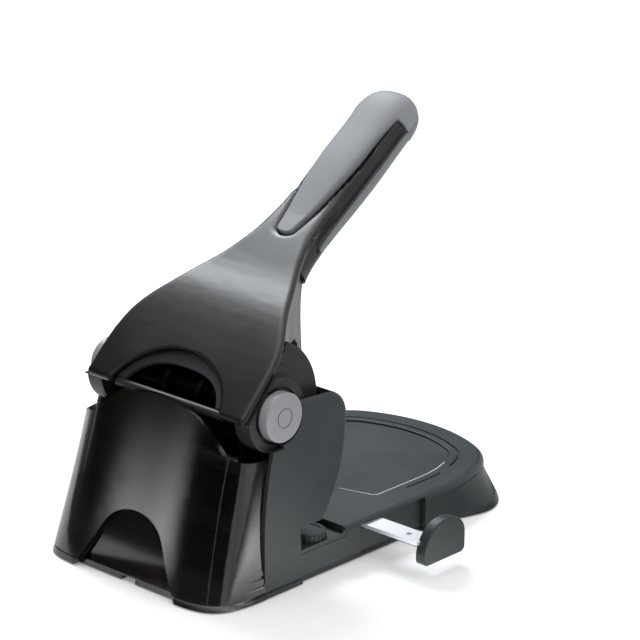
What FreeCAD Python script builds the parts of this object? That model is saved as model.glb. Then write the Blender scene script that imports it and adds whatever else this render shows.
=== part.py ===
# Heavy-duty two-hole punch with a long lever, built from its separate pieces.
# Lengths are millimetres. X runs across the machine, -Y towards the user, +Z up.
# The origin is on the table under the punch line, halfway between the two pins.
import FreeCAD, Part
import os
from math import sin, cos, pi, sqrt, radians
from FreeCAD import Vector

# Paper: two holes 80 mm apart, 12 mm in from the edge of the sheet
hole_pitch = 80.0
hole_diameter = 6.0
stop_distance = 12.0
paper_level = 23.0
throat_gap = 9.0

# Base: a long table with a rounded nose, standing on four feet
base_width = 141.0
nose_start = -102.0
nose_side_radius = 96.8
nose_side_turn = 25.0
edge_radius = 4.0
cover_wall = 2.6
cover_skirt_level = 21.3
floor_clearance = 0.8
tray_step = 3.0
tray_wall = 2.4
tray_floor = 2.0
tray_top = 19.8
foot_radius = 8.0
groove_inset = 14.6
groove_width = 1.2
groove_depth = 1.0
recess_inset = 19.4
recess_depth = 1.2
recess_rear = -65.0
recess_bow = 11.0
recess_edge = 0.7
skirt_rear = -85.0
flare_level = 18.5
flare_start = -103.0
flare_low = [(70.5, flare_start), (71.2, -112), (74, -121), (76.2, -131.5), (73.5, -143),
             (63.8, -155), (48, -167), (27, -175.2), (0, -178.5)]
flare_high = [(70.2, flare_start), (69.8, -112), (68.6, -121), (66.2, -131.5), (61.6, -142),
              (54, -151.6), (43, -160.3), (23.5, -168.7), (0, -172.1)]
groove_rear = -86.0

# Head: a tapered housing over the pins, open below for the paper
housing_wall = 2.6
housing_half_width = base_width / 2 - 1.0
housing_top_half_width = housing_half_width - 4.7
housing_top = 100.0
housing_front = -27.2
housing_edge_radius = 3.0
seam_rear = 40.3
seam_top_rear = 30.6
seam_top = 79.2
seam_gap = 0.4
side_panel_depth = 1.3

# Lever and its pivot
pivot_y = 22.4
pivot_z = 96.4
shaft_radius = 5.0
running_fit = 0.06
slope_angle = 44.2
rear_edge_y = 45.9
rear_edge_z = 98.9
lever_half_width = 58.7
top_cover_thickness = 4.0
under_cover_skin = 2.0
under_cover_wall = 3.0
hub_radius = 20.5
hub_inner_x = 50.3
hub_outer_x = 61.0
shaft_length = 2 * (hub_outer_x - 1.0)
guard_radius = 38.2
guard_thickness = 3.0
guard_start = 96.0
rib_radius = 33.4
rib_rise = 1.4
step_radius = 25.8
step_rise = 2.8
cap_radius = 13.5
cap_height = 5.8
cap_edge = 1.4
cap_ring_radius = 5.6
cap_ring_width = 0.8
window_half_width = 42.0
window_height = 28.0
window_rim = 8.0
lip_radius = 2.8
bar_radius = 2.4
cap_recess = 2.1
cap_recess_depth = 2.4
lever_reach = 80.0
lever_floor = 60.0
lever_edge_radius = 2.6
lever_step = 1.2

# Lever core: two steel cheeks joined by a web
core_half_width = 14.0
core_plate = 3.0
core_hub_radius = 10.6
cam_pin_radius = 6.0
bush_radius = 7.0
bush_flange_radius = 8.6
bush_flange = 1.2

# Steel frame, die and pins
frame_inner_x = 46.0
frame_plate = 3.0
frame_boss_radius = 10.6
base_plate_bottom = 13.2
base_plate_thickness = 3.0
die_half_length = 45.4
die_half_depth = 9.0
guide_block_bottom = 46.0
guide_block_height = 12.0
press_bar_height = 10.0
press_bar_half_depth = 7.0
pin_tip_level = 32.8
pin_head_radius = 5.0
pin_head_height = 2.4
spring_radius = 5.2
spring_wire = 1.3
spring_turns = 6

# Chip bin
bin_half_width = base_width / 2 - 0.5
bin_rear = 77.5
bin_power = 6.7
bin_crease = 76.0
bin_crease_half_width = bin_half_width - 6.4
bin_crease_rear = 55.0
bin_wall = 2.4
bin_shoulder = 79.5
tab_half_width = 50.0
tab_top = 99.3
scoop_half_width = 40.0
scoop_top = 39.0
scoop_depth = 4.2
scoop_top_depth = 1.2
drawer_top = 12.6
drawer_front = -13.0
drawer_floor = 1.6

# Side guide for the paper
strip_rear = -36.6
strip_width = 13.0
strip_thickness = 2.1
strip_top = 19.9
strip_outer_x = -106.6
strip_length = 128.6
fence_thickness = 6.0
fence_front = -70.5
fence_rear = -37.2
fence_bottom = 6.5
fence_top = 29.4
fence_edge = 0.8
pocket_front = -85.0
pocket_rear = -35.5
pocket_depth = 0.6
knob_x = -56.2
knob_y = -5.4
knob_radius = 10.2
knob_height = 3.7
knob_flutes = 24
knob_deck_level = 19.0
knob_deck_front = -21.5
deck_thickness = 2.4
stud_radius = 2.5

# Screws and feet
screw_radius = 2.0
screw_head_radius = 3.6
screw_head_height = 2.2
screw_boss_radius = 6.0
screw_places = [(x, y) for x in (-38.0, 38.0) for y in (-54.0, -24.0)]
die_screw_x = 20.0
housing_screw_x = (-36.0, 36.0)
housing_screw_sink = 1.3
foot_seat = 1.0
foot_places = [(-54.0, -118.0), (54.0, -118.0), (-56.0, 24.0), (56.0, 24.0), (0.0, 0.0)]

# Ties between the two frame plates, and the clips of the shaft
tie_places = [(29.0, 30.0), (29.0, 64.0)]
tie_radius = 3.0
tie_body_radius = 4.5
tie_bar_y = -13.5
tie_bar_half_depth = 4.0
tie_bar_height = 8.0
clip_thickness = 0.9
clip_inner_radius = 4.2
clip_outer_radius = 7.5

# Handle and its grips: sections as place, height, half-width and half-depth
handle_angle = 35.2
handle_y = -61.8
handle_z = 166.4
handle_sections = [(-36.0, 149.6, 25.0, 9.0), (-46.4, 155.6, 21.0, 9.3), (-62.3, 165.7, 18.5, 10.3),
                   (-86.6, 183.0, 18.3, 12.4), (-110.8, 200.3, 18.1, 12.4), (-125.6, 211.0, 17.9, 12.0),
                   (-132.6, 216.1, 16.9, 11.3), (-137.8, 219.8, 14.0, 9.6), (-141.2, 222.2, 8.0, 5.8)]
grip_split = 5.0
grip_bottom_start = -10.0
body_split = -1.5
body_start = -52.0
body_end = 78.5
bed_level = 6.6
grip_proud = 1.3
grip_plan = [(-10.5, 5.2), (8, 8.6), (28, 11.4), (50, 13.0), (68, 13.6), (79.2, 15.0)]
bed_plan = [(-11.2, 5.6), (8, 10.4), (28, 14.2), (50, 15.4), (68, 14.8), (79.2, 15.2)]
tongue_length = 74.0
web_height = 2.0
lever_screw_places = (30.0, 66.0)
lever_screw_radius = 1.6
lever_screw_head_radius = 3.4
lever_screw_head = 1.8
cam_pin_end_radius = 4.0
cam_y = 0.0

# Grooves to hold the bin by, and its latch notch
grip_grooves = 5
grip_groove_low = 3.0
grip_groove_pitch = 4.9
grip_groove_height = 1.9
grip_groove_end = 56.5
grip_groove_slant = 3.0
latch_half_width = 5.0
latch_height = 2.4

# Rivet and tongue of the fence, and the clamp bar
rivet_x = -95.3
rivet_radius = 1.6
tongue_thickness = 1.0
clamp_thickness = 3.4
clamp_half_width = 5.2

# Clearances between pieces
seat_gap = 0.3
slide_gap = 0.2
clear = 0.4

# Places that follow from the sizes above
half_pitch = hole_pitch / 2
throat_top = paper_level + throat_gap
cover_half_width = base_width / 2
tray_half_width = cover_half_width - tray_step
tray_bottom = floor_clearance + 0.2
tray_floor_top = tray_bottom + tray_floor
base_plate_top = base_plate_bottom + base_plate_thickness
frame_outer_x = frame_inner_x + frame_plate
pin_radius = hole_diameter / 2
stop_y = stop_distance
press_bar_top = pivot_z - 0.4 - cam_pin_radius - seat_gap
press_bar_bottom = press_bar_top - press_bar_height
guide_block_top = guide_block_bottom + guide_block_height
strip_front = strip_rear - strip_width
strip_bottom = strip_top - strip_thickness
lever_skin = top_cover_thickness + under_cover_skin
clamp_top = strip_bottom - slide_gap
clamp_bottom = clamp_top - clamp_thickness
tie_bar_top = housing_top - 2.2 - housing_wall - seat_gap
drawer_bottom = tray_floor_top + seat_gap
cam_z = pivot_z - 0.4
slope = radians(slope_angle)
slope_normal = (sin(slope), cos(slope))
lever_stations = [
    (rear_edge_y, rear_edge_z, lever_half_width),
    (26.6, 117.7, lever_half_width),
    (12.7, 129.8, 55.5),
    (-5.6, 143.1, 43.1),
    (-18.6, 150.3, 35.0),
    (-38.9, 163.0, 23.2),
    (-58.0, 175.2, 18.6),
    (-72.0, 183.6, 17.2),
]
long = 400.0


def vec(x, y, z):
    return Vector(x, y, z)


def box(x0, x1, y0, y1, z0, z1):
    return Part.makeBox(x1 - x0, y1 - y0, z1 - z0, vec(x0, y0, z0))


def upright(radius, x, y, z0, z1):
    return Part.makeCylinder(radius, z1 - z0, vec(x, y, z0), vec(0, 0, 1))


def crosswise(radius, y, z, x0, x1):
    return Part.makeCylinder(radius, x1 - x0, vec(x0, y, z), vec(1, 0, 0))


def line(a, b):
    return Part.LineSegment(a, b).toShape()


def arc(a, b, c):
    return Part.Arc(a, b, c).toShape()


def smooth(points, start=None, end=None):
    curve = Part.BSplineCurve()
    if start is None:
        curve.interpolate(Points=points)
    else:
        curve.interpolate(Points=points, InitialTangent=start, FinalTangent=end)
    return curve.toShape()


def polyline(points):
    return [line(a, b) for a, b in zip(points, points[1:])]


def slab(edges, direction):
    wire = Part.Wire(Part.__sortEdges__(edges))
    return Part.Face(wire).extrude(direction)


def side_slab(points, x0, x1):
    ring = [vec(x0, y, z) for y, z in points]
    return slab(polyline(ring + ring[:1]), vec(x1 - x0, 0, 0))


def front_slab(points, y0, y1):
    ring = [vec(x, y0, z) for x, z in points]
    return slab(polyline(ring + ring[:1]), vec(0, y1 - y0, 0))


def fuse(first, *others):
    return first.fuse(list(others)).removeSplitter()


def save(name, *solids):
    shape = solids[0] if len(solids) == 1 else Part.makeCompound(list(solids))
    shape.exportStep("parts/" + name + ".step")
    print(name, len(shape.Solids), round(shape.Volume), shape.isValid())


# Base

def nose_outline(inset, z, rear):
    """Plan of the base: straight sides that close in a rounded nose.

    The nose is a gentle side arc, a tighter corner arc and a gentle front arc,
    the same on both sides of the diagonal, so that every inset stays parallel.
    """
    half = cover_half_width
    turn = radians(nose_side_turn)
    corner_radius = nose_side_radius - (nose_side_radius - half) / (cos(turn) - sin(turn))
    corner_centre = (nose_side_radius - corner_radius) * sin(turn)

    def at(side, centre, radius, angle):
        x = centre[0] + (radius - inset) * cos(angle)
        forward = centre[1] + (radius - inset) * sin(angle)
        return vec(side * x, nose_start - forward, z)

    def side_arcs(side):
        flank = (half - nose_side_radius, 0)
        corner = (corner_centre, corner_centre)
        front = (0, half - nose_side_radius)
        arcs = []
        for centre, radius, a, b in ((flank, nose_side_radius, 0, turn),
                                     (corner, corner_radius, turn, pi / 2 - turn),
                                     (front, nose_side_radius, pi / 2 - turn, pi / 2)):
            arcs.append(arc(at(side, centre, radius, a), at(side, centre, radius, (a + b) / 2),
                            at(side, centre, radius, b)))
        return arcs

    width = half - inset
    edges = side_arcs(1) + side_arcs(-1)
    edges.append(line(vec(width, rear, z), vec(width, nose_start, z)))
    edges.append(line(vec(-width, nose_start, z), vec(-width, rear, z)))
    edges.append(line(vec(-width, rear, z), vec(width, rear, z)))
    return edges


def nose_slab(inset, rear, z0, z1):
    return slab(nose_outline(inset, z0, rear), vec(0, 0, z1 - z0))


def nose_flare(inset, z0):
    """Foot of the nose, which spreads towards the floor."""
    def ring(points, z):
        moved = []
        for x, y in points:
            reach = sqrt(x * x + (y - flare_start) ** 2)
            share = 1 - inset / reach
            moved.append(vec(x * share, flare_start + (y - flare_start) * share, z))
        left = [vec(-p.x, p.y, p.z) for p in reversed(moved[:-1])]
        curve = smooth(moved + left)
        return Part.Wire([curve, line(left[-1], moved[0])])

    return Part.makeLoft([ring(flare_low, z0), ring(flare_high, flare_level)], True, True)


def base_cover():
    rear = stop_y - clear
    outer = nose_slab(0, rear, floor_clearance, paper_level)
    rim = []
    for edge in outer.Edges:
        box_ = edge.BoundBox
        if box_.ZMin > paper_level - 0.01 and box_.YMin < rear - 1:
            rim.append(edge)
    shell = outer.makeFillet(edge_radius, rim).fuse(nose_flare(0, floor_clearance))
    plate_bottom = paper_level - cover_wall
    shell = shell.cut(nose_slab(cover_wall, rear + 1, 0, plate_bottom))
    shell = shell.cut(nose_flare(cover_wall, floor_clearance - 0.1))
    # The skirt closes the nose only; along the sides the lower shell shows
    panel = [(rear + 1, -1), (skirt_rear, -1), (skirt_rear, cover_skirt_level),
             (rear + 1, cover_skirt_level)]
    edge_x = tray_half_width - 0.8
    for x0, x1 in ((edge_x, cover_half_width + 1), (-cover_half_width - 1, -edge_x)):
        shell = shell.cut(side_slab(panel, x0, x1))
    # Shallow tray and the fine line round it on the table
    recess = nose_slab(recess_inset, recess_rear, paper_level - recess_depth, paper_level + 1)
    width = cover_half_width - recess_inset
    bulge = [arc(vec(-width, recess_rear, 0), vec(0, recess_rear + recess_bow, 0), vec(width, recess_rear, 0)),
             line(vec(width, recess_rear, 0), vec(-width, recess_rear, 0))]
    lift = slab(bulge, vec(0, 0, recess_depth + 1))
    lift.translate(vec(0, 0, paper_level - recess_depth))
    shell = shell.cut(fuse(recess, lift))
    lip = [e for e in shell.Edges if abs(e.BoundBox.ZMin - paper_level) < 0.01
           and e.BoundBox.ZLength < 0.01 and e.BoundBox.YMax < recess_rear + recess_bow + 1
           and abs(e.CenterOfMass.x) < width + 0.1
           and e.CenterOfMass.y > nose_start - cover_half_width + recess_inset - 1]
    shell = shell.makeFillet(recess_edge, lip)
    ring = nose_slab(groove_inset - groove_width / 2, groove_rear, paper_level - groove_depth, paper_level + 1)
    ring = ring.cut(nose_slab(groove_inset + groove_width / 2, groove_rear + 1, 0, paper_level + 2))
    ring = ring.cut(box(-long, -40, -126, -115, 0, long))
    shell = shell.cut(ring)
    # Opening for the die and the lowered deck for the lock knob
    die_x = die_half_length + seat_gap
    die_y = die_half_depth + seat_gap
    deck_bottom = knob_deck_level - deck_thickness
    shell = shell.cut(box(-die_x, die_x, -die_y, die_y, 0, long))
    shell = shell.cut(box(-cover_half_width - 1, -die_x, knob_deck_front, rear + 1, 0, long))
    inner = -die_x + deck_thickness
    step = box(-tray_half_width, inner, knob_deck_front - deck_thickness, knob_deck_front,
               deck_bottom, plate_bottom)
    deck = box(-tray_half_width, -die_x, knob_deck_front, rear, deck_bottom, knob_deck_level)
    front_cheek = box(-die_x, inner, knob_deck_front, -die_y, deck_bottom, plate_bottom)
    shell = fuse(shell, step, deck, front_cheek)
    return shell.cut(upright(stud_radius + 1, knob_x, knob_y, 0, long))


def base_tray():
    rear = stop_y - clear - 0.2
    inset = tray_step
    outer = nose_slab(inset, rear, tray_bottom, tray_top)
    hollow = nose_slab(inset + tray_wall, rear + 1, tray_floor_top, tray_top + 1)
    tray = outer.cut(hollow)
    # Lower the wall under the knob deck
    deck_under = knob_deck_level - deck_thickness - seat_gap
    tray = tray.cut(box(-long, -die_half_length, knob_deck_front - deck_thickness - seat_gap,
                        rear + 1, deck_under, long))
    # Rear part between the housing walls
    half = housing_half_width - housing_wall - clear
    back = box(-half, half, rear, seam_rear - 1, tray_bottom, tray_floor_top + 6)
    back = back.cut(box(-half + tray_wall, half - tray_wall, rear - 1, seam_rear, tray_floor_top, long))
    tray = fuse(tray, back)
    # Pocket in the side wall for the fence of the guide
    x_out = -tray_half_width
    pocket = box(x_out - 1, x_out + pocket_depth, pocket_front, pocket_rear, 2.5, tray_top + 1)
    liner = box(x_out, x_out + pocket_depth + tray_wall, pocket_front - tray_wall,
                pocket_rear + tray_wall, tray_bottom, tray_top)
    tray = fuse(tray, liner).cut(pocket)
    # Mouth for the guide strip
    mouth = box(x_out - 1, x_out + 10, strip_front - slide_gap, strip_rear + slide_gap,
                strip_bottom - tongue_thickness - slide_gap, long)
    tray = tray.cut(mouth)
    # Post under the clamp bar, and screw bosses
    post = box(knob_x - 4, knob_x + 4, -30, -26, tray_floor_top, clamp_bottom)
    tray = fuse(tray, post)
    for x, y in screw_places:
        tray = tray.fuse(upright(screw_boss_radius, x, y, tray_bottom, base_plate_bottom))
    for x, y in screw_places:
        tray = tray.cut(upright(screw_radius + 0.1, x, y, 0, long))
        tray = tray.cut(upright(screw_head_radius + 0.2, x, y, 0, tray_bottom + screw_head_height + 0.6))
    for x, y in foot_places:
        tray = tray.cut(upright(foot_radius, x, y, 0, tray_bottom + foot_seat))
    return tray.removeSplitter()


def rubber_feet():
    feet = []
    for x, y in foot_places:
        foot = upright(foot_radius, x, y, 0, tray_bottom + foot_seat)
        rim = [e for e in foot.Edges if e.BoundBox.ZMax < 0.01]
        feet.append(foot.makeFillet(0.6, rim))
    return feet


def screw(x, y, head_bottom, tip, head_height):
    head = upright(screw_head_radius, x, y, head_bottom, head_bottom + head_height)
    stem = upright(screw_radius, x, y, head_bottom, tip)
    socket = upright(screw_radius * 0.8, x, y, head_bottom - 1, head_bottom + head_height * 0.5)
    return fuse(head, stem).cut(socket)


def base_plate():
    plate = box(-frame_outer_x - 0.5, frame_outer_x + 0.5, -62, stop_y + 1, base_plate_bottom, base_plate_top)
    for sign in (-1, 1):
        plate = plate.cut(upright(hole_diameter * 0.75, sign * half_pitch, 0, 0, long))
        plate = plate.cut(upright(screw_radius, sign * die_screw_x, 0, 0, long))
    for x, y in screw_places:
        plate = plate.cut(upright(screw_radius, x, y, 0, long))
    return plate


# Frame, die and punching parts


def frame_side(sign):
    """C-shaped steel plate: foot, rear column and the arm over the throat."""
    column_front = stop_y + housing_wall + clear
    arm_bottom = throat_top + housing_wall + clear
    points = [(-24, tray_floor_top), (-24, base_plate_bottom), (column_front, base_plate_bottom),
              (column_front, arm_bottom), (-1, arm_bottom), (-8, 45), (-14, 56), (-19, 71),
              (-22, 84), (-22, 90), (-18, 93), (pivot_y - 12, 93), (pivot_y, pivot_z),
              (36, 84), (36, tray_floor_top)]
    x0 = frame_inner_x if sign > 0 else -frame_outer_x
    plate = side_slab(points, x0, x0 + frame_plate)
    boss = crosswise(frame_boss_radius, pivot_y, pivot_z, x0, x0 + frame_plate)
    plate = fuse(plate, boss)
    plate = plate.cut(crosswise(shaft_radius, pivot_y, pivot_z, x0 - 1, x0 + frame_plate + 1))
    for y, z in tie_places:
        plate = plate.cut(crosswise(tie_radius, y, z, x0 - 1, x0 + frame_plate + 1))
    return plate


def tie_rods():
    rods = []
    for y, z in tie_places:
        body = crosswise(tie_body_radius, y, z, -frame_inner_x, frame_inner_x)
        ends = crosswise(tie_radius, y, z, -frame_outer_x, frame_outer_x)
        rods.append(fuse(body, ends))
    return rods


def front_tie_bar():
    bar = box(-frame_inner_x, frame_inner_x, tie_bar_y - tie_bar_half_depth,
              tie_bar_y + tie_bar_half_depth, tie_bar_top - tie_bar_height, tie_bar_top)
    for x in housing_screw_x:
        bar = bar.cut(upright(screw_radius, x, tie_bar_y, 0, long))
    return bar


def housing_screws():
    screws = []
    for x in housing_screw_x:
        seat = housing_top - housing_screw_sink
        head = upright(screw_head_radius, x, tie_bar_y, seat, seat + 1.2)
        stem = upright(screw_radius, x, tie_bar_y, tie_bar_top - tie_bar_height + 1, seat)
        cross = box(x - 2, x + 2, tie_bar_y - 0.5, tie_bar_y + 0.5, seat + 0.6, seat + 3)
        screws.append(fuse(head, stem).cut(cross))
    return screws


def die_plate():
    plate = box(-die_half_length, die_half_length, -die_half_depth, die_half_depth,
                base_plate_top, paper_level)
    for sign in (-1, 1):
        plate = plate.cut(upright(pin_radius + running_fit, sign * half_pitch, 0, 0, long))
        plate = plate.cut(upright(pin_radius + 1, sign * half_pitch, 0, 0, paper_level - 3))
        x = sign * die_screw_x
        plate = plate.cut(upright(screw_radius + 0.1, x, 0, 0, long))
        cone = Part.makeCone(screw_radius, screw_head_radius + 0.2, 2.4, vec(x, 0, paper_level - 2.4))
        plate = plate.cut(cone)
    return plate


def die_screws():
    screws = []
    for sign in (-1, 1):
        x = sign * die_screw_x
        head = Part.makeCone(screw_radius, screw_head_radius, 2.2, vec(x, 0, paper_level - 2.4))
        stem = upright(screw_radius, x, 0, base_plate_bottom, paper_level - 2.4)
        slot = box(x - 4, x + 4, -0.5, 0.5, paper_level - 1.2, paper_level)
        screws.append(fuse(head, stem).cut(slot))
    return screws


def pin_guide_block():
    block = box(-frame_inner_x, frame_inner_x, -die_half_depth, die_half_depth + 2,
                guide_block_bottom, guide_block_top)
    for sign in (-1, 1):
        block = block.cut(upright(pin_radius + running_fit, sign * half_pitch, 0, 0, long))
    return block


def punch_pin(sign):
    """Ground pin with a hollow V tip, held in the press bar by its head."""
    x = sign * half_pitch
    shank = upright(pin_radius, x, 0, pin_tip_level, press_bar_top)
    head = upright(pin_head_radius, x, 0, press_bar_top - pin_head_height, press_bar_top)
    notch = side_slab([(-pin_radius - 1, pin_tip_level - 1.2), (0, pin_tip_level + 1.6),
                       (pin_radius + 1, pin_tip_level - 1.2)], x - pin_radius - 1, x + pin_radius + 1)
    return fuse(shank, head).cut(notch)


def press_bar():
    half = frame_inner_x - 1.0
    bar = box(-half, half, -press_bar_half_depth, press_bar_half_depth, press_bar_bottom, press_bar_top)
    for sign in (-1, 1):
        x = sign * half_pitch
        bar = bar.cut(upright(pin_radius, x, 0, 0, long))
        bar = bar.cut(upright(pin_head_radius, x, 0, press_bar_top - pin_head_height, long))
    return bar


def coil(x, y, z0, z1, radius, wire, turns):
    """One unbroken tube, made of arcs that meet tangentially every quarter turn."""
    bottom = z0 + wire / 2
    rise = (z1 - z0 - wire) / turns
    quarters = 4 * turns
    slope = rise / (2 * pi)

    def point(i):
        t = i * pi / 2
        return vec(x + radius * cos(t), y + radius * sin(t), bottom + slope * t)

    def heading(i):
        t = i * pi / 2
        d = vec(-radius * sin(t), radius * cos(t), slope)
        return d.normalize()

    def tangent_arc(start, direction, end):
        chord = end - start
        across = chord - direction * chord.dot(direction)
        r = chord.dot(chord) / (2 * across.Length)
        centre = start + across.normalize() * r
        middle = (start + end) * 0.5 - centre
        return arc(start, centre + middle.normalize() * r, end)

    edges = []
    for i in range(quarters):
        a, b = point(i), point(i + 1)
        ta, tb = heading(i), heading(i + 1)
        v = b - a
        t = ta + tb
        k = 2 * (1 - ta.dot(tb))
        d = (-v.dot(t) + sqrt(v.dot(t) ** 2 + k * v.dot(v))) / k
        joint = (a + b + (ta - tb) * d) * 0.5
        edges.append(tangent_arc(a, ta, joint))
        back = tangent_arc(b, tb * -1, joint)
        mid = back.valueAt((back.FirstParameter + back.LastParameter) / 2)
        edges.append(arc(joint, mid, b))
    path = Part.Wire(edges)
    ring = Part.Wire([Part.Circle(point(0), heading(0), wire / 2).toShape()])
    tube = Part.BRepOffsetAPI.MakePipeShell(path)
    tube.add(ring, False, False)
    tube.build()
    tube.makeSolid()
    print("spring gap between turns", round(rise - wire, 2))
    return tube.shape()


# Head housing

def head_edges(w):
    """Side view of the head; w insets it for the hollow inside."""
    top_front = vec(0, -17.1, housing_top - 0.3 - w)
    top_rear = vec(0, pivot_y - 10.6, housing_top + 1.8 - w)
    shoulder = vec(0, housing_front + 2.3 + 0.8 * w, 94.2 - 0.6 * w)
    brow = vec(0, housing_front + w, 88)
    belly = vec(0, -21.2 + w, 58.3 + 0.2 * w)
    chin = vec(0, -5.2 + 0.9 * w, throat_top + w)
    back = stop_y + w
    corner = vec(0, back, throat_top + w)
    foot = vec(0, back, floor_clearance if w == 0 else -1)
    edges = [line(top_rear, top_front), arc(top_front, shoulder, brow), arc(brow, belly, chin),
             line(chin, corner), line(corner, foot)]
    if w == 0:
        heel = vec(0, seam_rear - seam_gap, floor_clearance)
        seam_mid = vec(0, seam_rear - seam_gap - 0.2, 38)
        seam_end = vec(0, seam_top_rear - seam_gap, seam_top)
        edges += [line(foot, heel), arc(heel, seam_mid, seam_end),
                  line(seam_end, vec(0, seam_top_rear - seam_gap, housing_top + 1.8)),
                  line(vec(0, seam_top_rear - seam_gap, housing_top + 1.8), top_rear)]
    else:
        edges += [line(foot, vec(0, 60, -1)), line(vec(0, 60, -1), vec(0, 60, top_rear.z)),
                  line(vec(0, 60, top_rear.z), top_rear)]
    return edges


def head_width(w):
    """Front view of the head: sides that lean in above the table."""
    lean = (housing_half_width - housing_top_half_width) / (housing_top - paper_level)
    top = housing_top + 10
    half = housing_half_width - w
    top_half = half - lean * (top - paper_level)
    return front_slab([(-half, -2), (half, -2), (half, paper_level), (top_half, top),
                       (-top_half, top), (-half, paper_level)], -60, 80)


def head_housing():
    outer = slab(head_edges(0), vec(2 * long, 0, 0))
    outer.translate(vec(-long, 0, 0))
    outer = outer.common(head_width(0))
    corners = []
    for edge in outer.Edges:
        b = edge.BoundBox
        on_side = b.XMin > 60 or b.XMax < -60
        if on_side and b.YMax < stop_y and b.ZMin > throat_top - 1 and b.XLength < 8 and b.ZMax > throat_top + 5:
            corners.append(edge)
    outer = outer.makeFillet(housing_edge_radius, corners)
    inner = slab(head_edges(housing_wall), vec(2 * long, 0, 0))
    inner.translate(vec(-long, 0, 0))
    inner = inner.common(head_width(housing_wall))
    shell = outer.cut(inner)
    # The wall behind the paper stops at the table, the side walls go down to the foot
    half = housing_half_width - housing_wall
    shell = shell.cut(box(-half, half, stop_y - 1, stop_y + housing_wall + 1, -1, paper_level - cover_wall))
    # Round notches for the caps and the room behind them
    shell = shell.cut(crosswise(cap_radius + 1.5, pivot_y, pivot_z, -long, long))
    shell = shell.cut(box(-long, long, pivot_y, 60, seam_top, long))
    notch = [(pivot_y - 13, pivot_z), (pivot_y - 10, housing_top + 5), (pivot_y + 20, housing_top + 5),
             (pivot_y + 20, seam_top), (seam_top_rear - seam_gap, seam_top)]
    shell = shell.cut(side_slab(notch, -long, long))
    # Slots for the guards of the lever and the opening for its core
    for sign in (-1, 1):
        x0, x1 = sorted((sign * (hub_inner_x - 0.6), sign * (housing_top_half_width - housing_wall)))
        shell = shell.cut(box(x0, x1, -20.2, 60, housing_top - 6, long))
    core = core_half_width + bush_flange + 1.5
    shell = shell.cut(box(-core, core, -11.6, 60, housing_top - 6, long))
    # Holes for the pins and the two screws
    for sign in (-1, 1):
        shell = shell.cut(upright(pin_radius + 0.4, sign * half_pitch, 0, throat_top - 1, throat_top + 5))
    for x in housing_screw_x:
        shell = shell.cut(upright(screw_radius + 0.1, x, tie_bar_y, housing_top - 6, long))
        seat = housing_top - housing_screw_sink
        shell = shell.cut(upright(screw_head_radius + 0.2, x, tie_bar_y, seat, long))
    # Sunk panel under the soft curve on each side
    crease = [arc(vec(0, -60, 66), vec(0, 3, 48.5), vec(0, 44, 3)),
              line(vec(0, 44, 3), vec(0, -60, 3)), line(vec(0, -60, 3), vec(0, -60, 66))]
    panel = slab(crease, vec(2 * long, 0, 0))
    panel.translate(vec(-long, 0, 0))
    panel = panel.cut(head_width(side_panel_depth))
    return shell.cut(panel)


# Pivot

def pivot_shaft():
    shaft = crosswise(shaft_radius, pivot_y, pivot_z, -shaft_length / 2, shaft_length / 2)
    for x0 in (frame_outer_x + 0.1, -frame_outer_x - 0.1 - clip_thickness):
        ring = crosswise(shaft_radius + 1, pivot_y, pivot_z, x0, x0 + clip_thickness)
        ring = ring.cut(crosswise(clip_inner_radius, pivot_y, pivot_z, x0 - 1, x0 + clip_thickness + 1))
        shaft = shaft.cut(ring)
    return shaft


def shaft_clips():
    clips = []
    for x0 in (frame_outer_x + 0.1, -frame_outer_x - 0.1 - clip_thickness):
        disc = crosswise(clip_outer_radius, pivot_y, pivot_z, x0, x0 + clip_thickness)
        disc = disc.cut(crosswise(clip_inner_radius, pivot_y, pivot_z, x0 - 1, x0 + clip_thickness + 1))
        mouth = box(x0 - 1, x0 + clip_thickness + 1, pivot_y - 3.4, pivot_y + 3.4, pivot_z - 20, pivot_z)
        clips.append(disc.cut(mouth))
    return clips


def pivot_cap(sign):
    x0, x1 = sorted((sign * hub_outer_x, sign * (hub_outer_x + cap_height)))
    cap = crosswise(cap_radius, pivot_y, pivot_z, x0, x1)
    face_x = sign * (hub_outer_x + cap_height)
    rim = [e for e in cap.Edges if abs(e.BoundBox.XMin - face_x) < 0.01 and e.BoundBox.XLength < 0.01]
    cap = cap.makeFillet(cap_edge, rim)
    y0, y1 = sorted((face_x, face_x - sign * 0.5))
    ring = crosswise(cap_ring_radius, pivot_y, pivot_z, y0, y1)
    ring = ring.cut(crosswise(cap_ring_radius - cap_ring_width, pivot_y, pivot_z, y0 - 1, y1 + 1))
    return cap.cut(ring)


# Lever


def lever_top(offset):
    """Points along the top of the lever, moved square to it by offset."""
    points = []
    count = len(lever_stations)
    for i, (y, z, half) in enumerate(lever_stations):
        before = lever_stations[max(i - 1, 0)]
        after = lever_stations[min(i + 1, count - 1)]
        run = after[0] - before[0]
        rise = after[1] - before[1]
        size = sqrt(run * run + rise * rise)
        points.append(vec(0, y + rise / size * offset, z - run / size * offset))
    return points


def lever_plan(inset):
    """Plan of the lever: wide at the hubs, drawn in to the neck."""
    flank = [vec(half - inset, y, lever_floor) for y, z, half in lever_stations]
    flank[0] = vec(lever_half_width - inset, rear_edge_y + 20, lever_floor)
    right = smooth(flank)
    left = smooth([vec(-p.x, p.y, p.z) for p in flank])
    rear = line(flank[0], vec(-flank[0].x, flank[0].y, lever_floor))
    front = line(flank[-1], vec(-flank[-1].x, flank[-1].y, lever_floor))
    return slab([right, front, left, rear], vec(0, 0, long))


def lever_strip(upper, lower, x):
    """Slice of the lever between two depths below its top, |x| wide."""
    a = lever_top(upper)
    b = lever_top(lower)
    edges = [smooth(a), line(a[-1], b[-1]), smooth(b), line(b[0], a[0])]
    strip = slab(edges, vec(2 * x, 0, 0))
    strip.translate(vec(-x, 0, 0))
    return strip


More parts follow.
